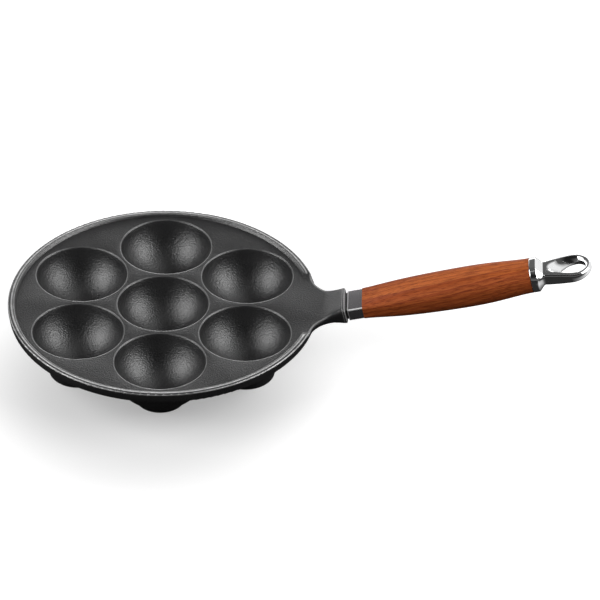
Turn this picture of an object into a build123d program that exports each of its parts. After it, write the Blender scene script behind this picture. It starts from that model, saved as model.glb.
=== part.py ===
from build123d import *
from math import cos, radians, sin, sqrt
import os

os.makedirs("parts", exist_ok=True)

# An aebleskiver pan, in millimetres. The origin is at the middle of the pan, on the table.
# +X runs under the handle and +Z points up.

# Driving sizes of the cups
cup_pitch = 62.1
cup_mouth_radius = 29.3
cup_depth = 26.0
cup_wall = 4.5
mouth_rounding = 1.0
foot_radius = 19.0
foot_draft = 0.8
foot_edge = 1.6
side_foot_radius = 16.0
side_foot_lift = 2.0

# Driving sizes of the plate and its rim
plate_top = 32.0
plate_thickness = 5.1
pan_radius = 100.6
rim_width = 4.4
rim_rise = 1.9
rim_slope = 0.9
rim_rounding = 1.1
skirt_taper = 1.1
bead_end = 28.0
bead_end_radius = 12.0

# Driving sizes of the neck that is cast with the pan
handle_tilt = 12.5
neck_reach = 18.0
handle_drop = 0.5
neck_width = 26.0
neck_plan_corner = 20.0
web_reach = 15.4
web_thickness = 4.0
neck_start_width = 36.0
neck_start_height = 3.6
neck_start_corner = 1.0
flange_width = 26.4
flange_height = 12.6
flange_corner = 3.8
flange_thickness = 1.3
flange_lip = 0.6
flange_lift = 0.6

# Driving sizes of the tie rod and of the collar at the front of the grip
rod_radius = 2.5
rod_engagement = 6.0
rod_chamfer = 0.5
thread_clearance = 0.06
end_clearance = 0.4
ferrule_width = 22.0
ferrule_height = 9.0
ferrule_corner = 1.6
ferrule_wall = 1.0
ferrule_length = 9.85
ferrule_edge = 0.3
ferrule_gap = 1.4
spigot_entry = 3.2
sliding_clearance = 0.08

# Driving sizes of the wooden grip
grip_length = 110.5
grip_bore_clearance = 0.3
grip_front_width = 22.8
grip_front_height = 9.8
grip_front_corner = 2.2
grip_belly_width = 28.9
grip_belly_height = 21.3
grip_belly_corner = 9.8
grip_sag = 0.5
grip_rear_width = 23.6
grip_rear_height = 20.2
grip_rear_corner = 9.6

# Driving sizes of the end cap and its hanging loop
cap_band = 4.9
cap_cone = 4.6
cap_hole_depth = 8.6
cap_edge = 0.5
loop_neck_width = 16.4
loop_neck_height = 8.2
loop_neck_corner = 3.6
loop_thickness = 4.6
loop_radius = 11.8
loop_root_radius = 7.8
loop_reach = 39.6
loop_rounding = 1.7
eye_rounding = 1.0
eye_radius = 6.9
eye_root_radius = 2.2
eye_end_wall = 4.0
eye_length = 16.6

# Sizes that follow from them
plate_bottom = plate_top - plate_thickness
handle_start = pan_radius + neck_reach
web_end = pan_radius + web_reach
rim_top = plate_top + rim_rise
cup_rise = (cup_mouth_radius**2 - cup_depth**2) / (2 * cup_depth)
cup_sphere = cup_depth + cup_rise
cup_centre_height = plate_top + cup_rise
shell_sphere = cup_sphere + cup_wall
shell_reach = sqrt(shell_sphere**2 - (cup_centre_height - plate_bottom) ** 2)
spigot_end = ferrule_gap + spigot_entry
ferrule_end = ferrule_gap + ferrule_length
grip_end = ferrule_end + grip_length
band_end = grip_end + cap_band
cone_end = band_end + cap_cone
loop_end = grip_end + loop_reach
cone_start_width = grip_rear_width - 2 * cap_edge
cone_start_height = grip_rear_height - 2 * cap_edge
cone_start_corner = grip_rear_corner - cap_edge

# The handle's own line, square to the end face of the neck
tilt = radians(handle_tilt)
handle_direction = Vector(cos(tilt), 0, sin(tilt))
handle_origin = Vector(handle_start, 0, plate_top - handle_drop)


def station(distance):
    """A plane square to the handle, this far past the neck's end face: x across, y up."""
    return Plane(handle_origin + handle_direction * distance, x_dir=(0, 1, 0), z_dir=handle_direction)


# The plane that holds the handle's line and lies flat across it: x along, y across
flat_plane = Plane(handle_origin, x_dir=handle_direction, z_dir=(-sin(tilt), 0, cos(tilt)))
# The plane that holds the handle's line and stands upright: x along, y up
side_plane = Plane(handle_origin, x_dir=handle_direction, z_dir=(0, -1, 0))


def cup_shell(radius, lift):
    """The outside of one cup: part of a ball that ends in a flat foot."""
    foot_top = cup_centre_height - sqrt(shell_sphere**2 - (radius + foot_draft) ** 2)
    with BuildPart() as shell:
        with BuildSketch(Plane.XZ) as section:
            with BuildLine():
                Polyline((0, plate_bottom), (0, lift), (radius, lift), (radius + foot_draft, foot_top))
                RadiusArc((radius + foot_draft, foot_top), (shell_reach, plate_bottom), -shell_sphere)
                Line((shell_reach, plate_bottom), (0, plate_bottom))
            make_face()
            fillet(section.vertices().group_by(Axis.Y)[0].sort_by(Axis.X)[-1], radius=foot_edge)
        revolve(axis=Axis.Z)
    return shell.part


# Places of the cups: the middle one and four of the outer ones stand on the table,
# and the two at the sides of the pan stop a little short of it
standing_cups = [(0, 0)]
for quarter in (30, 150, 210, 330):
    standing_cups.append((cup_pitch * cos(radians(quarter)), cup_pitch * sin(radians(quarter))))
side_cups = [(0, cup_pitch), (0, -cup_pitch)]

# The plate with its raised rim, and the run-out of the rim where the neck begins
with BuildPart() as plate:
    with BuildSketch(Plane.XZ) as plate_section:
        with BuildLine():
            Polyline(
                (0, plate_bottom),
                (pan_radius - skirt_taper, plate_bottom),
                (pan_radius, rim_top),
                (pan_radius - rim_width, rim_top),
                (pan_radius - rim_width - rim_slope, plate_top),
                (0, plate_top),
                close=True,
            )
        make_face()
        rim_points = plate_section.vertices().filter_by(lambda point: point.X > pan_radius - rim_width)
        fillet(rim_points + plate_section.vertices().group_by(Axis.Y)[-1], radius=rim_rounding)
    revolve(axis=Axis.Z)
    with BuildSketch(Plane.YZ) as bead_gap:
        with Locations((0, plate_top)):
            Rectangle(
                2 * (bead_end + bead_end_radius),
                2 * bead_end_radius,
                align=(Align.CENTER, Align.MIN),
            )
        fillet(bead_gap.vertices().group_by(Axis.Y)[0], radius=bead_end_radius)
    extrude(amount=handle_start, mode=Mode.SUBTRACT)

# The web of the neck: a flat tongue of the plate with hollow corners where it leaves the pan
with BuildPart() as web:
    with BuildSketch(Plane.XY.offset(plate_top - web_thickness)) as web_plan:
        Circle(pan_radius - skirt_taper)
        Rectangle(web_end, neck_width, align=(Align.MIN, Align.CENTER))
        roots = web_plan.vertices().filter_by(lambda point: 0 < point.X < pan_radius)
        fillet(roots, radius=neck_plan_corner)
    extrude(amount=web_thickness)

# The neck: it swells out of the web into the flange, and the spigot for the collar follows
# Each row: how far along, and how much of the narrowing and of the gain in height is there
neck_shares = [
    (0.0, 0.0, 0.0),
    (0.38, 0.62, 0.2),
    (0.56, 0.82, 0.42),
    (0.82, 0.94, 0.74),
    (1.0, 1.0, 1.0),
]
neck_from = Vector(pan_radius, 0, plate_top - web_thickness / 2)
flange_middle = flat_plane.z_dir * flange_lift
neck_to = station(-flange_thickness).origin + flange_middle
with BuildPart() as neck:
    with BuildSketch(Plane(neck_to, x_dir=(0, 1, 0), z_dir=handle_direction)):
        RectangleRounded(flange_width, flange_height, flange_corner)
    extrude(amount=flange_thickness)
    fillet(neck.faces().sort_by(Axis.X)[-1].edges(), radius=flange_lip)
    for along, narrow_share, high_share in neck_shares:
        lean = tilt * along
        here = neck_from + (neck_to - neck_from) * along
        with BuildSketch(Plane(here, x_dir=(0, 1, 0), z_dir=(cos(lean), 0, sin(lean)))):
            RectangleRounded(
                neck_start_width + narrow_share * (flange_width - neck_start_width),
                neck_start_height + high_share * (flange_height - neck_start_height),
                neck_start_corner + high_share * (flange_corner - neck_start_corner),
            )
    loft()
    with BuildSketch(station(-end_clearance)):
        RectangleRounded(
            ferrule_width - 2 * (ferrule_wall + sliding_clearance),
            ferrule_height - 2 * (ferrule_wall + sliding_clearance),
            ferrule_corner - ferrule_wall,
        )
    extrude(amount=spigot_end + end_clearance)

# The pan is one casting: plate, rim, cups and neck, with the cups hollowed out last
with BuildPart() as pan:
    add(plate.part)
    add(web.part)
    add(neck.part)
    with Locations(*standing_cups):
        add(cup_shell(foot_radius, 0))
    with Locations(*side_cups):
        add(cup_shell(side_foot_radius, side_foot_lift))
    with Locations(*[(x, y, cup_centre_height) for x, y in standing_cups + side_cups]):
        Sphere(cup_sphere, mode=Mode.SUBTRACT)
    with BuildSketch(station(-rod_engagement - end_clearance)):
        Circle(rod_radius + thread_clearance)
    extrude(amount=rod_engagement + end_clearance + spigot_end, mode=Mode.SUBTRACT)
    mouths = pan.edges().filter_by(GeomType.CIRCLE).filter_by_position(Axis.Z, plate_top, plate_top)
    mouth_edges = mouths.filter_by(lambda edge: abs(edge.radius - cup_mouth_radius) < mouth_rounding)
    fillet(mouth_edges, radius=mouth_rounding)
pan.part.label = "pan_casting"
export_step(pan.part, "parts/pan_casting.step")

# The steel collar over the joint of the spigot and the grip's tenon
with BuildPart() as ferrule:
    with BuildSketch(station(ferrule_gap)):
        RectangleRounded(ferrule_width, ferrule_height, ferrule_corner)
    extrude(amount=ferrule_length)
    chamfer(ferrule.faces().sort_by(Axis.X)[0].edges(), length=ferrule_edge)
    with BuildSketch(station(ferrule_gap)):
        RectangleRounded(
            ferrule_width - 2 * ferrule_wall,
            ferrule_height - 2 * ferrule_wall,
            ferrule_corner - ferrule_wall,
        )
    extrude(amount=ferrule_length, mode=Mode.SUBTRACT)
ferrule.part.label = "front_ferrule"
export_step(ferrule.part, "parts/front_ferrule.step")

# The wooden grip: it swells from the collar to the belly and thins again to the end cap
# Each row: how far along, and how much of the swelling in width and in height is there
swell_shares = [
    (0.0, 0.0, 0.0),
    (0.1, 0.28, 0.24),
    (0.22, 0.66, 0.54),
    (0.37, 0.91, 0.79),
    (0.58, 1.0, 1.0),
]
thin_shares = [(0.8, 0.67, 0.75), (1.0, 0.0, 0.0)]
with BuildPart() as grip:
    for along, wide_share, high_share in swell_shares:
        with BuildSketch(station(ferrule_end + along * grip_length)):
            with Locations((0, -wide_share * grip_sag)):
                RectangleRounded(
                    grip_front_width + wide_share * (grip_belly_width - grip_front_width),
                    grip_front_height + high_share * (grip_belly_height - grip_front_height),
                    grip_front_corner + high_share * (grip_belly_corner - grip_front_corner),
                )
    for along, wide_share, high_share in thin_shares:
        with BuildSketch(station(ferrule_end + along * grip_length)):
            with Locations((0, -wide_share * grip_sag)):
                RectangleRounded(
                    grip_rear_width + wide_share * (grip_belly_width - grip_rear_width),
                    grip_rear_height + high_share * (grip_belly_height - grip_rear_height),
                    grip_rear_corner + high_share * (grip_belly_corner - grip_rear_corner),
                )
    loft()
    with BuildSketch(station(spigot_end)):
        RectangleRounded(
            ferrule_width - 2 * (ferrule_wall + sliding_clearance),
            ferrule_height - 2 * (ferrule_wall + sliding_clearance),
            ferrule_corner - ferrule_wall,
        )
    extrude(amount=ferrule_end - spigot_end)
    with BuildSketch(station(spigot_end)):
        Circle(rod_radius + grip_bore_clearance)
    extrude(amount=grip_end - spigot_end, mode=Mode.SUBTRACT)
grip.part.label = "wood_grip"
export_step(grip.part, "parts/wood_grip.step")

# The hanging loop: a flat bar that widens and thins towards its end, with a drop-shaped eye
with BuildPart() as loop:
    with BuildSketch(flat_plane):
        with Locations((cone_end, 0)):
            Circle(loop_root_radius)
        with Locations((loop_end - loop_radius, 0)):
            Circle(loop_radius)
        make_hull()
    extrude(amount=loop_neck_height, both=True)
    with BuildSketch(side_plane):
        with BuildLine():
            Polyline(
                (band_end, -loop_neck_height / 2),
                (cone_end, -loop_neck_height / 2),
                (loop_end, -loop_thickness / 2),
                (loop_end, loop_thickness / 2),
                (cone_end, loop_neck_height / 2),
                (band_end, loop_neck_height / 2),
                close=True,
            )
        make_face()
    extrude(amount=loop_radius, both=True, mode=Mode.INTERSECT)
    fillet(loop.faces().sort_by(SortBy.AREA)[-2:].edges(), radius=loop_rounding)
    with BuildSketch(flat_plane):
        with Locations((loop_end - eye_end_wall - eye_length + eye_root_radius, 0)):
            Circle(eye_root_radius)
        with Locations((loop_end - eye_end_wall - eye_radius, 0)):
            Circle(eye_radius)
        make_hull()
    extrude(amount=loop_neck_height, both=True, mode=Mode.SUBTRACT)
    for flat_side in loop.faces().sort_by(SortBy.AREA)[-2:]:
        fillet(flat_side.inner_wires()[0].edges(), radius=eye_rounding)

# The end cap, one casting with the loop: a band, then a hollow cone down to the loop's root
# Each row: how far along the cone, and how much of the narrowing is there
cone_shares = [(0.0, 0.0), (0.5, 0.62), (1.0, 1.0)]
with BuildPart() as cap:
    with BuildSketch(station(grip_end)):
        RectangleRounded(grip_rear_width, grip_rear_height, grip_rear_corner)
    extrude(amount=cap_band)
    fillet(cap.faces().sort_by(Axis.X)[-1].edges(), radius=cap_edge)
    for along, narrow_share in cone_shares:
        with BuildSketch(station(band_end + along * cap_cone)):
            RectangleRounded(
                cone_start_width + narrow_share * (loop_neck_width - cone_start_width),
                cone_start_height + narrow_share * (loop_neck_height - cone_start_height),
                cone_start_corner + narrow_share * (loop_neck_corner - cone_start_corner),
            )
    loft()
    add(loop.part)
    with BuildSketch(station(grip_end)):
        Circle(rod_radius + thread_clearance)
    extrude(amount=cap_hole_depth, mode=Mode.SUBTRACT)
cap.part.label = "hanging_loop"
export_step(cap.part, "parts/hanging_loop.step")

# The tie rod that draws the grip on to the neck
with BuildPart() as rod:
    with BuildSketch(station(-rod_engagement)):
        Circle(rod_radius)
    extrude(amount=rod_engagement + grip_end + cap_hole_depth - end_clearance)
    chamfer(rod.edges().filter_by(GeomType.CIRCLE), length=rod_chamfer)
rod.part.label = "tie_rod"
export_step(rod.part, "parts/tie_rod.step")
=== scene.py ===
import bpy
from functools import partial
from math import asin, atan2, cos, hypot, pi, radians, sin
from mathutils import Matrix, Vector


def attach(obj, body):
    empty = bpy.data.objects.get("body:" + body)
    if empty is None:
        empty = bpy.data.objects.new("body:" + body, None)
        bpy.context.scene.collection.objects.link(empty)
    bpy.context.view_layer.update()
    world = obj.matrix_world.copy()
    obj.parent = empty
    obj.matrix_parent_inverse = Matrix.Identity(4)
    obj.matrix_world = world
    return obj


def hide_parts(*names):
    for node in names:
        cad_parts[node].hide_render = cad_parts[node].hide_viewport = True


# An aebleskiver pan, in metres. +X runs under the handle and +Z points up.
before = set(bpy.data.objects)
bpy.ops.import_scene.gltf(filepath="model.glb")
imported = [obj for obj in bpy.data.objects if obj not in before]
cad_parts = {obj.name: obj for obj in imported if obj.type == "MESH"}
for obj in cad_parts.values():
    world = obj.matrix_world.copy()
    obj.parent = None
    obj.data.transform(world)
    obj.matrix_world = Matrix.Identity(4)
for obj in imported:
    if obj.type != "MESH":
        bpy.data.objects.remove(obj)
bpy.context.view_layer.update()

# Sizes of the casting, as its CAD has them
plate_top = 0.032
pan_radius = 0.1006
cup_pitch = 0.0621
mouth_radius = 0.0293

# The handle's own line, taken from the CAD: it starts at the end face of the neck
handle_tilt = radians(12.5)
handle_start = Vector((0.1186, 0.0, 0.0315))
handle_direction = Vector((cos(handle_tilt), 0.0, sin(handle_tilt)))
handle_upward = Vector((-sin(handle_tilt), 0.0, cos(handle_tilt)))

# Painted highlight lines of bare iron on the enamel: the radii of the lines and half their widths
lip_offset = 0.00062
lip_line = 0.0003
rim_crest = pan_radius - 0.0026
rim_outer_edge = pan_radius - 0.0006
rim_inner_edge = pan_radius - 0.0040
rim_line = 0.0005
root_middle = (0.1160, 0.033)
root_radius = 0.0213
root_line = 0.0009

# The camera of the photograph: a long lens, about 37 degrees above level
camera_distance = 83.2983 * cup_pitch
camera_shift = (1.42569 * cup_pitch, 0.03517 * cup_pitch)
camera_azimuth = radians(0.97855)
camera_elevation = radians(36.5542)
camera_roll = radians(0.06692)
photo_pixels = 600
lens_pixels = 8000
film_width = 36.0

# The studio's light and tones, where 1 is white
floor_tone = 0.03
seen_tone = 0.5
room_light = 0.14
ceiling_light = 0.09
lamp_aim = Vector((0.06, 0.0, 0.03))


def deselect():
    if bpy.context.object and bpy.context.object.mode != "OBJECT":
        bpy.ops.object.mode_set(mode="OBJECT")
    bpy.ops.object.select_all(action="DESELECT")


def pick(piece):
    """Makes this piece the only selected one."""
    deselect()
    piece.select_set(True)
    bpy.context.view_layer.objects.active = piece


# Shader helpers

def new_material(name):
    """A material with only a Principled shader, and its nodes, links and shader."""
    material = bpy.data.materials.new(name)
    material.use_nodes = True
    nodes = material.node_tree.nodes
    shader = nodes["Principled BSDF"]
    return material, nodes, material.node_tree.links, shader


def new_group(name, inputs, outputs):
    """A node group with these named sockets; returns it with its nodes, links and end nodes."""
    group = bpy.data.node_groups.new(name, "ShaderNodeTree")
    for socket, kind, value in inputs:
        made = group.interface.new_socket(name=socket, in_out="INPUT", socket_type=kind)
        if value is not None:
            made.default_value = value
    for socket, kind in outputs:
        group.interface.new_socket(name=socket, in_out="OUTPUT", socket_type=kind)
    start = group.nodes.new("NodeGroupInput")
    end = group.nodes.new("NodeGroupOutput")
    return group, group.nodes, group.links, start, end


def place_group(nodes, links, group, vector):
    """A group's node, fed with this vector."""
    node = nodes.new("ShaderNodeGroup")
    node.node_tree = group
    links.new(vector, node.inputs["Vector"])
    return node


def feed(links, socket, value):
    """Links this socket to another one, or sets it to a plain value."""
    if hasattr(value, "is_linked"):
        links.new(value, socket)
    else:
        socket.default_value = value


def calculate(nodes, links, operation, *values):
    """The result of a Math node."""
    node = nodes.new("ShaderNodeMath")
    node.operation = operation
    for socket, value in zip(node.inputs, values):
        feed(links, socket, value)
    return node.outputs["Value"]


def measure(nodes, links, operation, *vectors):
    """A Vector Math node: its outputs are a Vector and, for a length or a product, a Value."""
    node = nodes.new("ShaderNodeVectorMath")
    node.operation = operation
    for socket, vector in zip(node.inputs, vectors):
        feed(links, socket, vector)
    return node.outputs


def spread(nodes, links, value, low_in, high_in, low_out, high_out, interpolation="LINEAR"):
    """This value, taken from one range to another and held at its ends."""
    node = nodes.new("ShaderNodeMapRange")
    node.interpolation_type = interpolation
    node.inputs["From Min"].default_value = low_in
    node.inputs["From Max"].default_value = high_in
    node.inputs["To Min"].default_value = low_out
    node.inputs["To Max"].default_value = high_out
    links.new(value, node.inputs["Value"])
    return node.outputs["Result"]


def ramp(nodes, links, factor, stops):
    """A colour ramp with these stops, read at the factor."""
    node = nodes.new("ShaderNodeValToRGB")
    elements = node.color_ramp.elements
    while len(elements) < len(stops):
        elements.new(0.5)
    for element, (place, colour) in zip(elements, stops):
        element.position = place
        element.color = (*colour, 1.0)
    links.new(factor, node.inputs["Fac"])
    return node.outputs["Color"]


def noise(nodes, links, vector, scale, detail, roughness=0.5):
    node = nodes.new("ShaderNodeTexNoise")
    links.new(vector, node.inputs["Vector"])
    feed(links, node.inputs["Scale"], scale)
    node.inputs["Detail"].default_value = detail
    node.inputs["Roughness"].default_value = roughness
    return node.outputs


def mix_colour(nodes, links, kind, factor, first, second):
    node = nodes.new("ShaderNodeMix")
    node.data_type = "RGBA"
    node.blend_type = kind
    for name, value in (("Factor", factor), ("A", first), ("B", second)):
        socket = [s for s in node.inputs if s.name == name and s.enabled][0]
        feed(links, socket, value)
    return [s for s in node.outputs if s.enabled][0]


def mix_value(nodes, links, factor, first, second):
    node = nodes.new("ShaderNodeMix")
    for name, value in (("Factor", factor), ("A", first), ("B", second)):
        feed(links, node.inputs[name], value)
    return node.outputs["Result"]


def bump(nodes, links, shader, height, distance):
    node = nodes.new("ShaderNodeBump")
    node.inputs["Distance"].default_value = distance
    node.inputs["Strength"].default_value = 1.0
    links.new(height, node.inputs["Height"])
    links.new(node.outputs["Normal"], shader.inputs["Normal"])


# Effects that the materials share

def cast_grain():
    """The orange peel and the slow mottle of a sand casting under enamel or polish."""
    group, nodes, links, start, end = new_group(
        "cast_grain",
        [("Vector", "NodeSocketVector", None), ("Peel Size", "NodeSocketFloat", 520.0)],
        [("Height", "NodeSocketFloat"), ("Mottle", "NodeSocketFloat")],
    )
    where = start.outputs["Vector"]
    peel = noise(nodes, links, where, start.outputs["Peel Size"], 2.5, 0.55)
    cloud = noise(nodes, links, where, 38.0, 3.0, 0.6)
    links.new(peel["Fac"], end.inputs["Height"])
    links.new(cloud["Fac"], end.inputs["Mottle"])
    return group


def painted_highlight_lines():
    """A mask of the thin lines of painted highlight on the enamel: the cups' lips, the rim and the
    neck.
    """
    group, nodes, links, start, end = new_group(
        "painted_highlight_lines",
        [("Vector", "NodeSocketVector", None)],
        [("Mask", "NodeSocketFloat")],
    )
    math = partial(calculate, nodes, links)
    vector_math = partial(measure, nodes, links)
    fade = partial(spread, nodes, links)
    where = start.outputs["Vector"]
    flat = vector_math("MULTIPLY", where, (1.0, 1.0, 0.0))["Vector"]
    parts = nodes.new("ShaderNodeSeparateXYZ")
    links.new(where, parts.inputs["Vector"])

    def ring(centre, radius, half_width):
        """A thin line round an upright axis, soft at both of its edges."""
        past = math("SUBTRACT", vector_math("DISTANCE", flat, (*centre, 0.0))["Value"], radius)
        return fade(math("ABSOLUTE", past), 0.3 * half_width, half_width, 1.0, 0.0)

    def above(level):
        softness = 0.0005
        return fade(parts.outputs["Z"], level, level + softness, 0.0, 1.0)

    def lip(centre):
        """One cup's lip line, a painted highlight: strongest at its near edge and fainter round the
        rest.
        """
        shift = math("SUBTRACT", parts.outputs["Y"], centre[1])
        place = fade(shift, -mouth_radius, mouth_radius, 0.0, 1.0)
        highlight_shares = [
            (0.0, 1.0),
            (0.08, 0.8),
            (0.3, 0.25),
            (0.6, 0.2),
            (0.85, 0.5),
            (0.95, 0.3),
            (1.0, 0.1),
        ]
        share = ramp(nodes, links, place, [(along, 3 * (brightness,)) for along, brightness in highlight_shares])
        return math("MULTIPLY", ring(centre, mouth_radius + lip_offset, lip_line), share)

    lips = lip((0.0, 0.0))
    for angle in range(30, 390, 60):
        centre = (cup_pitch * cos(radians(angle)), cup_pitch * sin(radians(angle)))
        lips = math("MAXIMUM", lips, lip(centre))
    lips = math("MULTIPLY", lips, above(plate_top - 0.0012))

    # Painted highlight lines on the rim: strongest along its crest, and weaker along both of its
    # edges
    crest = ring((0.0, 0.0), rim_crest, 1.5 * rim_line)
    outside = math("MULTIPLY", ring((0.0, 0.0), rim_outer_edge, rim_line), 0.5)
    inside = math("MULTIPLY", ring((0.0, 0.0), rim_inner_edge, rim_line), 0.3)
    rims = math("MAXIMUM", crest, math("MAXIMUM", outside, inside))
    rims = math("MULTIPLY", rims, above(plate_top + 0.0009))

    # Painted highlight lines in the hollow corners where the neck leaves the pan, strongest beside
    # the pan
    near_root = ring((root_middle[0], -root_middle[1]), root_radius, root_line)
    far_root = ring(root_middle, root_radius, root_line)
    roots = math("MAXIMUM", near_root, far_root)
    roots = math("MULTIPLY", roots, fade(parts.outputs["X"], 0.103, 0.110, 0.42, 0.0))
    roots = math("MULTIPLY", roots, above(plate_top - 0.0014))

    # Painted highlight lines on both edges of the neck's flange, at these places along the handle
    along = vector_math("DOT_PRODUCT", where, handle_direction)["Value"]
    past_neck = math("SUBTRACT", along, handle_start.dot(handle_direction))
    flange_edges = [
        fade(math("ABSOLUTE", math("SUBTRACT", past_neck, place)), 0.0001, 0.00035, 0.45, 0.0)
        for place in (-0.0002, -0.0014)
    ]
    flange = math("MAXIMUM", *flange_edges)

    lines = math("MAXIMUM", rims, math("MAXIMUM", roots, flange))
    patches = noise(nodes, links, where, 140.0, 5.0, 0.65)
    broken = fade(patches["Fac"], 0.32, 0.56, 0.5, 1.0)
    # All these lines are painted highlights, broken up at random
    mask = math("MULTIPLY", math("MAXIMUM", lips, lines), broken)
    links.new(mask, end.inputs["Mask"])
    return group


def collar_edge_highlights():
    """A mask of the collar's long edges and its front edge, where a pale satin paints their
    highlights.
    """
    group, nodes, links, start, end = new_group(
        "collar_edge_highlights",
        [("Vector", "NodeSocketVector", None)],
        [("Mask", "NodeSocketFloat")],
    )
    math = partial(calculate, nodes, links)
    fade = partial(spread, nodes, links)

    def measured(direction):
        """How far a point lies from the handle's start in this direction."""
        along = measure(nodes, links, "DOT_PRODUCT", start.outputs["Vector"], direction)["Value"]
        return math("SUBTRACT", along, handle_start.dot(direction))

    sideways = math("ABSOLUTE", measured(Vector((0, 1, 0))))
    upwards = math("ABSOLUTE", measured(handle_upward))
    # Painted highlight: the corners and the front edge are picked out for a paler finish
    corner = fade(math("ADD", sideways, upwards), 0.01438, 0.01450, 0.0, 1.0)
    front = fade(measured(handle_direction), 0.0020, 0.0022, 1.0, 0.0)
    links.new(math("MAXIMUM", corner, front), end.inputs["Mask"])
    return group


def wood_grain():
    """Growth rings, short pores and colour drift of an orange hardwood, grain along its own X."""
    group, nodes, links, start, end = new_group(
        "wood_grain",
        [("Vector", "NodeSocketVector", None)],
        [("Ring", "NodeSocketFloat"), ("Pore", "NodeSocketFloat"), ("Drift", "NodeSocketFloat")],
    )
    where = start.outputs["Vector"]

    def stretched(scale):
        node = nodes.new("ShaderNodeMapping")
        node.inputs["Scale"].default_value = scale
        links.new(where, node.inputs["Vector"])
        return node.outputs["Vector"]

    waver = noise(nodes, links, stretched((16.0, 70.0, 70.0)), 1.0, 3.0)
    waver_reach = (0.0, 0.0035, 0.0035)
    swayed = measure(nodes, links, "MULTIPLY_ADD", waver["Color"], waver_reach, where)["Vector"]

    # The grip is cut from a log whose heart lies above it and leans a little
    log = nodes.new("ShaderNodeMapping")
    log.inputs["Location"].default_value = (0.0, 0.0020, 0.0120)
    log.inputs["Rotation"].default_value = (0.0, radians(4.0), radians(2.0))
    links.new(swayed, log.inputs["Vector"])
    rings = nodes.new("ShaderNodeTexWave")
    rings.wave_type = "RINGS"
    rings.rings_direction = "X"
    rings.wave_profile = "SAW"
    rings.inputs["Scale"].default_value = 120.0
    rings.inputs["Distortion"].default_value = 0.8
    rings.inputs["Detail"].default_value = 2.0
    rings.inputs["Detail Scale"].default_value = 1.5
    links.new(log.outputs["Vector"], rings.inputs["Vector"])

    pore = noise(nodes, links, stretched((110.0, 1700.0, 1700.0)), 1.0, 3.0, 0.7)
    drift = noise(nodes, links, stretched((12.0, 150.0, 150.0)), 1.0, 2.0)
    links.new(rings.outputs["Fac"], end.inputs["Ring"])
    links.new(pore["Fac"], end.inputs["Pore"])
    links.new(drift["Fac"], end.inputs["Drift"])
    return group


# Materials

def enamelled_iron(grain, highlight_lines):
    """Satin black enamel over cast iron, with bare iron painted along the lips, the rim and the
    neck as highlight lines.
    """
    material, nodes, links, shader = new_material("enamelled_iron")
    where = nodes.new("ShaderNodeTexCoord").outputs["Object"]
    surface = place_group(nodes, links, grain, where)
    surface.inputs["Peel Size"].default_value = 1000.0
    mottle = surface.outputs["Mottle"]
    mask = place_group(nodes, links, highlight_lines, where).outputs["Mask"]
    black = (0.010, 0.010, 0.0105)
    paler_black = (0.016, 0.016, 0.0165)
    # Bare iron along the masked lines paints their highlights
    bare_iron_highlight = (0.75, 0.75, 0.75, 1.0)
    tone = ramp(nodes, links, mottle, [(0.3, black), (0.72, paler_black)])
    links.new(mix_colour(nodes, links, "MIX", mask, tone, bare_iron_highlight), shader.inputs["Base Color"])
    links.new(spread(nodes, links, mask, 0.0, 1.0, 0.0, 0.8), shader.inputs["Metallic"])
    shader.inputs["Specular IOR Level"].default_value = 0.95
    shine = spread(nodes, links, mottle, 0.3, 0.7, 0.31, 0.38)
    links.new(mix_value(nodes, links, mask, shine, 0.3), shader.inputs["Roughness"])
    bump(nodes, links, shader, surface.outputs["Height"], 0.00029)
    return material


def polished_metal(name, colour, roughness, grain, edge_highlights=None):
    """Polished metal with faint polishing clouds, and a pale satin that paints highlights on the
    edges where there is a mask.
    """
    material, nodes, links, shader = new_material(name)
    where = nodes.new("ShaderNodeTexCoord").outputs["Object"]
    surface = place_group(nodes, links, grain, where)
    surface.inputs["Peel Size"].default_value = 260.0
    mottle = surface.outputs["Mottle"]
    shader.inputs["Metallic"].default_value = 1.0
    darker = tuple(0.93 * c for c in colour)
    tone = ramp(nodes, links, mottle, [(0.35, darker), (0.65, colour)])
    shine = spread(nodes, links, mottle, 0.3, 0.7, roughness, 1.5 * roughness)
    if edge_highlights is not None:
        # A pale satin on the masked edges paints their highlights
        highlight_satin = (0.95, 0.95, 0.95, 1.0)
        mask = place_group(nodes, links, edge_highlights, where).outputs["Mask"]
        tone = mix_colour(nodes, links, "MIX", mask, tone, highlight_satin)
        shine = mix_value(nodes, links, mask, shine, 0.55)
    links.new(tone, shader.inputs["Base Color"])
    links.new(shine, shader.inputs["Roughness"])
    bump(nodes, links, shader, surface.outputs["Height"], 0.000008)
    return material


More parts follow.
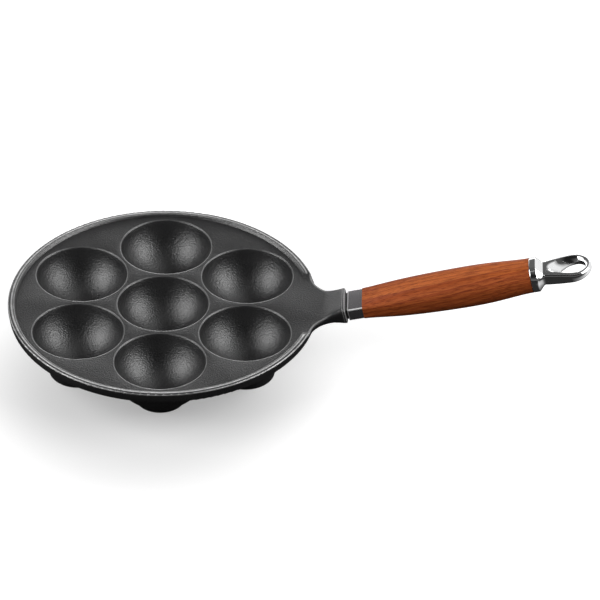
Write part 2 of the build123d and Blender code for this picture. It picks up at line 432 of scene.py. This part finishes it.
def oiled_wood(grain):
    """Orange-brown hardwood, oiled and rubbed smooth, with painted light that makes it paler on top
    and darker down its sides.
    """
    material, nodes, links, shader = new_material("grip_wood")
    math = partial(calculate, nodes, links)
    where = nodes.new("ShaderNodeTexCoord").outputs["Object"]
    level = nodes.new("ShaderNodeMapping")
    level.inputs["Rotation"].default_value = (0.0, handle_tilt, 0.0)
    links.new(where, level.inputs["Vector"])
    figure = place_group(nodes, links, grain, level.outputs["Vector"])

    white = (1.0, 1.0, 1.0)
    early_wood = (0.69, 0.188, 0.04)
    middle_wood = (0.61, 0.15, 0.031)
    late_wood = (0.47, 0.1, 0.022)
    ring_stops = [(0.0, early_wood), (0.6, middle_wood), (1.0, late_wood)]
    rings = ramp(nodes, links, figure.outputs["Ring"], ring_stops)
    drift = ramp(nodes, links, figure.outputs["Drift"], [(0.3, (0.74, 0.68, 0.62)), (0.7, white)])
    toned = mix_colour(nodes, links, "MULTIPLY", 0.8, rings, drift)
    pores = ramp(nodes, links, figure.outputs["Pore"], [(0.38, (0.36, 0.27, 0.23)), (0.54, white)])
    pored = mix_colour(nodes, links, "MULTIPLY", 0.75, toned, pores)

    # How far a point stands over the handle's line, as a share of its way out from it
    parts = nodes.new("ShaderNodeSeparateXYZ")
    links.new(level.outputs["Vector"], parts.inputs["Vector"])
    height = math("SUBTRACT", parts.outputs["Z"], handle_start.dot(handle_upward))
    way_out = math("ADD", height, math("ABSOLUTE", parts.outputs["Y"]))
    share = math("DIVIDE", height, way_out)
    # Painted light and shade: paler along the top of the grip, darker down its sides and underneath
    lit_top = spread(nodes, links, share, 0.45, 0.85, 0.0, 1.0, "SMOOTHSTEP")
    painted_shading = ramp(nodes, links, lit_top, [(0.0, (0.74, 0.66, 0.74)), (1.0, white)])
    colour = mix_colour(nodes, links, "MULTIPLY", 1.0, pored, painted_shading)
    links.new(colour, shader.inputs["Base Color"])

    shine = spread(nodes, links, figure.outputs["Pore"], 0.3, 0.7, 0.62, 0.46)
    links.new(shine, shader.inputs["Roughness"])
    shader.inputs["Specular IOR Level"].default_value = 0.2
    bump(nodes, links, shader, figure.outputs["Pore"], 0.0001)
    return material


# Pieces

def dress(piece, material):
    piece.data.materials.clear()
    piece.data.materials.append(material)


def smooth_twin(node, name, body):
    """A merged and smoothly shaded copy of a CAD node, which it stands for."""
    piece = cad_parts[node].copy()
    piece.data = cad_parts[node].data.copy()
    piece.name = name
    piece.parent = None
    for key in list(piece.keys()):
        del piece[key]
    bpy.context.scene.collection.objects.link(piece)
    pick(piece)
    bpy.ops.mesh.customdata_custom_splitnormals_clear()
    bpy.ops.object.mode_set(mode="EDIT")
    bpy.ops.mesh.select_all(action="SELECT")
    bpy.ops.mesh.remove_doubles(threshold=0.000002)
    bpy.ops.object.mode_set(mode="OBJECT")
    bpy.ops.object.shade_smooth_by_angle(angle=radians(32))
    deselect()
    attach(piece, body)
    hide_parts(node)
    return piece


def along_handle(piece):
    """Turns a piece modelled with Z along, X across and Y up on to the handle's line."""
    across = Vector((0, 0, 1)).cross(handle_direction).normalized()
    turn = Matrix((across, handle_direction.cross(across), handle_direction)).transposed().to_4x4()
    piece.data.transform(Matrix.Translation(handle_start) @ turn)
    piece.data.update()


def point_outwards():
    """Turns the faces of the active piece outwards."""
    bpy.ops.object.mode_set(mode="EDIT")
    bpy.ops.mesh.select_all(action="SELECT")
    bpy.ops.mesh.normals_make_consistent(inside=False)
    bpy.ops.object.mode_set(mode="OBJECT")


def merge_and_close(threshold):
    """Merges the seams of the active piece, closes its ends and turns its faces outwards."""
    bpy.ops.object.mode_set(mode="EDIT")
    bpy.ops.mesh.select_all(action="SELECT")
    bpy.ops.mesh.remove_doubles(threshold=threshold)
    bpy.ops.mesh.fill_holes(sides=0)
    bpy.ops.object.mode_set(mode="OBJECT")
    point_outwards()


def clamp(value):
    return min(max(value, 0), 1)


def squarer(value):
    """A sine or cosine drawn towards its ends, which makes a round section squarer."""
    power = 0.7
    return abs(value) ** power * (1 if value > 0 else -1)


def drop_outline(share, root, root_radius, tip, tip_radius):
    """A point on half of a drop's outline, by its share of the way from the tip to the root."""
    spacing = tip - root
    lean = asin((tip_radius - root_radius) / spacing)
    turn = pi / 2 + lean
    around_tip = tip_radius * turn
    straight = spacing * cos(lean)
    around_root = root_radius * (pi - turn)
    way = share * (around_tip + straight + around_root)
    if way < around_tip:
        angle = way / tip_radius
        return Vector((tip + tip_radius * cos(angle), tip_radius * sin(angle)))
    if way < around_tip + straight:
        done = (way - around_tip) / straight
        first = Vector((tip + tip_radius * cos(turn), tip_radius * sin(turn)))
        last = Vector((root + root_radius * cos(turn), root_radius * sin(turn)))
        return first.lerp(last, done)
    angle = turn + (way - around_tip - straight) / root_radius
    return Vector((root + root_radius * cos(angle), root_radius * sin(angle)))


def end_cap():
    """The cap behind the grip: a band, then a cone that narrows to the loop's root."""
    # Stations in metres along the handle: place, half width, half height, corner
    stations = [
        (0.12178, 0.0090, 0.0075, 0.0070),
        (0.12178, 0.01125, 0.00955, 0.0091),
        (0.12195, 0.01154, 0.00984, 0.0094),
        (0.12225, 0.01174, 0.01004, 0.00954),
        (0.12265, 0.01180, 0.01010, 0.00960),
        (0.12600, 0.01180, 0.01010, 0.00960),
        (0.12640, 0.01170, 0.01000, 0.00955),
        (0.12675, 0.01130, 0.00958, 0.00925),
        (0.12770, 0.01040, 0.00825, 0.00775),
        (0.12860, 0.00960, 0.00675, 0.00580),
        (0.12930, 0.00905, 0.00570, 0.00450),
        (0.12985, 0.00870, 0.00505, 0.00375),
        (0.13040, 0.00853, 0.00478, 0.00340),
        (0.13220, 0.00845, 0.00470, 0.00330),
        (0.13360, 0.00600, 0.00300, 0.00280),
    ]
    sides = 72
    rows = len(stations) - 1
    deselect()
    bpy.ops.mesh.primitive_grid_add(x_subdivisions=sides, y_subdivisions=rows, size=2.0)
    cap = bpy.context.object
    for vertex in cap.data.vertices:
        row = round((vertex.co.y + 1) / 2 * rows)
        # Half a step of turn keeps every vertex off the lines where a side changes
        angle = -pi * (vertex.co.x + 1) - pi / sides
        place, half_width, half_height, corner = stations[row]
        across = (1 if cos(angle) > 0 else -1) * (half_width - corner) + corner * cos(angle)
        up = (1 if sin(angle) > 0 else -1) * (half_height - corner) + corner * sin(angle)
        vertex.co = (across, up, place)
    merge_and_close(0.000004)
    return cap


def loop_bars():
    """The loop: a ring that follows a drop-shaped plan, thick at its root and thin at its tip."""
    neck_place, tip_place = 0.13125, 0.16135
    neck_half, tip_half = 0.0048, 0.0025
    # Each drop: the root's place and radius, then the tip's
    outer_drop = (0.1318, 0.0085, 0.14935, 0.0120)
    inner_drop = (0.1432, 0.0020, 0.15050, 0.0069)
    # Inside the ridge the top falls away to the eye: a slight slope at the tip, a scoop at the root
    ridge_share = 0.46
    scoop_from_share, scoop_over_share = 0.2, 0.3
    tip_fall_share = 0.3
    sunk_share = 0.15
    top_side = -0.001
    bpy.ops.mesh.primitive_torus_add(
        major_segments=144, minor_segments=36, major_radius=1.0, minor_radius=0.3
    )
    bars = bpy.context.object
    for vertex in bars.data.vertices:
        around = atan2(vertex.co.y, vertex.co.x)
        out = hypot(vertex.co.x, vertex.co.y) - 1.0
        turn = atan2(vertex.co.z, out)
        share = abs(around) / pi
        outer = drop_outline(share, *outer_drop)
        inner = drop_outline(share, *inner_drop)
        width_share = (1 + squarer(cos(turn))) / 2
        flat = inner.lerp(outer, width_share)
        place, across = flat.x, flat.y * (1 if around > 0 else -1)
        along = clamp((place - neck_place) / (tip_place - neck_place))
        half = neck_half + (tip_half - neck_half) * along
        height = half * squarer(sin(turn))
        if width_share < ridge_share and sin(turn) > top_side:
            scooped = clamp((share - scoop_from_share) / scoop_over_share)
            scooped = tip_fall_share + (1 - tip_fall_share) * scooped * scooped * (3 - 2 * scooped)
            risen = width_share / ridge_share
            fallen = half * risen - sunk_share * half * (1 - risen)
            height += (fallen - height) * scooped
        vertex.co = (across, height, place)
    pick(bars)
    point_outwards()
    return bars


def hanging_loop(material):
    """The end cap and its loop: a round cone that runs into two bars with a scoop between them."""
    cap = end_cap()
    cap.name = "loop_body"
    bars = loop_bars()
    pick(cap)
    bars.select_set(True)
    bpy.ops.object.join()
    bpy.ops.object.shade_smooth_by_angle(angle=radians(40))
    along_handle(cap)
    dress(cap, material)
    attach(cap, "end")
    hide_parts("hanging_loop")


def thread(front, length, radius, depth, pitch):
    """A right-hand thread: one tooth of it, wound along the rod."""
    bpy.ops.mesh.primitive_plane_add(size=pitch)
    tooth = bpy.context.object
    root = radius - 1.3 * depth
    root_half, crest_half = 0.45 * pitch, 0.08 * pitch
    corners = [(root, -root_half), (root, root_half), (radius, -crest_half), (radius, crest_half)]
    for vertex, (out, up) in zip(tooth.data.vertices, corners):
        vertex.co = (out, 0, front + pitch + up)
    winding = tooth.modifiers.new("winding", "SCREW")
    winding.angle = 2 * pi
    winding.screw_offset = pitch
    winding.iterations = int(length / pitch) - 1
    winding.steps = 32
    winding.render_steps = 32
    pick(tooth)
    bpy.ops.object.modifier_apply(modifier="winding")
    merge_and_close(0.000001)
    return tooth


def threaded_rod(material):
    """The tie rod, turned down at the front, where its thread is."""
    front, back = -0.006, 0.12995
    radius = 0.0025
    pitch = 0.0008
    depth = 0.00045
    thread_length = 0.0128
    deselect()
    bpy.ops.mesh.primitive_cylinder_add(vertices=48, radius=radius - depth, depth=back - front)
    rod = bpy.context.object
    rod.name = "tie_rod_threaded"
    bpy.ops.object.mode_set(mode="EDIT")
    bpy.ops.mesh.select_all(action="SELECT")
    bpy.ops.transform.translate(value=(0, 0, (front + back) / 2))
    bpy.ops.mesh.bisect(plane_co=(0, 0, front + thread_length), plane_no=(0, 0, 1))
    bpy.ops.object.mode_set(mode="OBJECT")
    for vertex in rod.data.vertices:
        if vertex.co.z > front + thread_length - pitch / 10:
            vertex.co.xy = vertex.co.xy.normalized() * radius
    tooth = thread(front, thread_length, radius, depth, pitch)
    pick(rod)
    tooth.select_set(True)
    bpy.ops.object.join()
    bpy.ops.object.shade_smooth_by_angle(angle=radians(35))
    along_handle(rod)
    dress(rod, material)
    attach(rod, "end")
    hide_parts("tie_rod")


# The studio

def ray_kinds(nodes, links):
    """Whether a ray comes from the camera, and whether from a mirror or through glass."""
    path = nodes.new("ShaderNodeLightPath").outputs
    mirror = calculate(nodes, links, "MAXIMUM", path["Is Glossy Ray"], path["Is Transmission Ray"])
    return path["Is Camera Ray"], mirror


def studio_floor():
    """A wide white floor that keeps the pan's soft shadow and is white to the camera, with a
    painted shadow in its glow round the pan.
    """
    deselect()
    bpy.ops.mesh.primitive_grid_add(x_subdivisions=8, y_subdivisions=8, size=8.0)
    floor = bpy.context.object
    floor.name = "studio_floor"
    material, nodes, links, shader = new_material("floor_paper")
    math = partial(calculate, nodes, links)
    fade = partial(spread, nodes, links)
    camera_ray, mirror_ray = ray_kinds(nodes, links)
    shader.inputs["Roughness"].default_value = 0.9
    shader.inputs["Specular IOR Level"].default_value = 0.0
    lit_colour = (floor_tone, floor_tone, floor_tone, 1.0)
    seen_colour = (seen_tone, seen_tone, seen_tone, 1.0)
    tone = mix_colour(nodes, links, "MIX", camera_ray, lit_colour, seen_colour)
    links.new(tone, shader.inputs["Base Color"])

    # Painted shadow: to the camera the floor glows less round the pan, where its shadow lies, and a
    # little more far out
    where = nodes.new("ShaderNodeTexCoord").outputs["Object"]
    shadow_middle = (-0.01, -0.06, 0.0)
    away = measure(nodes, links, "DISTANCE", where, shadow_middle)["Value"]
    around = fade(away, 0.05, 0.155, 0.34, 0.81, "SMOOTHSTEP")
    wider = fade(away, 0.3, 1.0, 0.0, 0.19)
    seen = math("ADD", around, wider)

    # In mirrors only the floor beyond and behind the pan is white
    parts = nodes.new("ShaderNodeSeparateXYZ")
    links.new(where, parts.inputs["Vector"])
    beyond = fade(measure(nodes, links, "LENGTH", where)["Value"], 0.27, 0.38, 0.0, 0.95)
    behind = fade(parts.outputs["Y"], -0.14, 0.0, 0.0, 1.0)
    mirrored = math("MULTIPLY", mirror_ray, math("MULTIPLY", beyond, behind))

    glow = nodes.new("ShaderNodeEmission")
    links.new(math("MULTIPLY_ADD", camera_ray, seen, mirrored), glow.inputs["Strength"])
    both = nodes.new("ShaderNodeAddShader")
    links.new(shader.outputs["BSDF"], both.inputs[0])
    links.new(glow.outputs["Emission"], both.inputs[1])
    links.new(both.outputs["Shader"], nodes["Material Output"].inputs["Surface"])
    dress(floor, material)


def soft_box(name, azimuth, elevation, distance, width, height, radiance):
    """A rectangular area light that looks at the pan; radiance 1 is white."""
    lamp = bpy.data.lights.new(name, "AREA")
    lamp.shape = "RECTANGLE"
    lamp.size = width
    lamp.size_y = height
    lamp.energy = radiance * pi * width * height
    stand = bpy.data.objects.new(name, lamp)
    bpy.context.scene.collection.objects.link(stand)
    flat = distance * cos(elevation)
    way = Vector((flat * sin(azimuth), -flat * cos(azimuth), distance * sin(elevation)))
    stand.location = lamp_aim + way
    stand.rotation_euler = (stand.location - lamp_aim).to_track_quat("Z", "Y").to_euler()


def studio_world():
    """White to the camera, white behind and low down in mirrors, and a dim room for the rest."""
    world = bpy.data.worlds.new("studio")
    bpy.context.scene.world = world
    world.use_nodes = True
    nodes, links = world.node_tree.nodes, world.node_tree.links
    math = partial(calculate, nodes, links)
    fade = partial(spread, nodes, links)
    white = (1.0, 1.0, 1.0, 1.0)
    room = nodes["Background"]
    room.inputs["Color"].default_value = white
    room.inputs["Strength"].default_value = room_light
    backdrop = nodes.new("ShaderNodeBackground")
    backdrop.inputs["Color"].default_value = white
    parts = nodes.new("ShaderNodeSeparateXYZ")
    links.new(nodes.new("ShaderNodeTexCoord").outputs["Generated"], parts.inputs["Vector"])
    rightward, rearward, upward = parts.outputs

    low = fade(upward, 0.1, 0.5, 1.0, 0.12, "SMOOTHSTEP")
    behind = fade(rearward, -0.3, 0.5, 0.12, 1.0, "SMOOTHSTEP")
    backward = math("MULTIPLY", low, behind)
    # White also stands behind to the right, and the ceiling is dim
    right_side = fade(rightward, 0.05, 0.25, 0.0, 1.0)
    rear_side = fade(rearward, -0.3, 0.1, 0.0, 1.0)
    corner = math("MULTIPLY", right_side, rear_side)
    ceiling = fade(upward, 0.65, 0.9, 0.0, ceiling_light)
    mirrored = math("MAXIMUM", backward, math("MAXIMUM", corner, ceiling))

    camera_ray, mirror_ray = ray_kinds(nodes, links)
    links.new(math("MAXIMUM", camera_ray, mirrored), backdrop.inputs["Strength"])
    both = nodes.new("ShaderNodeMixShader")
    links.new(math("MAXIMUM", camera_ray, mirror_ray), both.inputs["Fac"])
    links.new(room.outputs["Background"], both.inputs[1])
    links.new(backdrop.outputs["Background"], both.inputs[2])
    links.new(both.outputs["Shader"], nodes["World Output"].inputs["Surface"])


def studio_camera():
    back = Vector((
        sin(camera_azimuth) * cos(camera_elevation),
        -cos(camera_azimuth) * cos(camera_elevation),
        sin(camera_elevation),
    ))
    level = Vector((0, 0, 1)).cross(back).normalized()
    upright = back.cross(level)
    right = level * cos(camera_roll) + upright * sin(camera_roll)
    up = upright * cos(camera_roll) - level * sin(camera_roll)
    place = right * camera_shift[0] + up * camera_shift[1] + back * camera_distance
    place += Vector((0, 0, plate_top))
    lens = bpy.data.cameras.new("photo_camera")
    lens.sensor_width = film_width
    lens.lens = film_width * lens_pixels / photo_pixels
    lens.clip_end = 50.0
    camera = bpy.data.objects.new("photo_camera", lens)
    bpy.context.scene.collection.objects.link(camera)
    turn = Matrix((right, up, back)).transposed()
    camera.matrix_world = Matrix.Translation(place) @ turn.to_4x4()
    bpy.context.scene.camera = camera


grain = cast_grain()
iron = enamelled_iron(grain, painted_highlight_lines())
collar_metal = polished_metal("ferrule_metal", (0.85, 0.82, 0.85), 0.13, grain, collar_edge_highlights())
loop_metal = polished_metal("loop_metal", (0.86, 0.865, 0.87), 0.07, grain)
rod_steel = polished_metal("rod_steel", (0.6, 0.61, 0.62), 0.22, grain)
wood = oiled_wood(wood_grain())

dress(smooth_twin("pan_casting", "pan_body", "pan"), iron)
dress(smooth_twin("front_ferrule", "front_collar", "grip"), collar_metal)
dress(smooth_twin("wood_grip", "grip_body", "grip"), wood)
hanging_loop(loop_metal)
threaded_rod(rod_steel)

studio_floor()
# Each lamp: azimuth, elevation, distance, width, height and radiance
soft_box("right_box", radians(84), radians(30), 1.3, 1.05, 0.95, 4.8)
soft_box("left_box", radians(-78), radians(30), 1.3, 1.05, 0.95, 4.9)
soft_box("top_strip", radians(0), radians(76), 1.3, 1.3, 0.08, 0.5)
soft_box("back_strip", radians(180), radians(10), 2.0, 2.6, 0.3, 2.2)
studio_world()
studio_camera()
bpy.context.scene.view_settings.view_transform = "Standard"
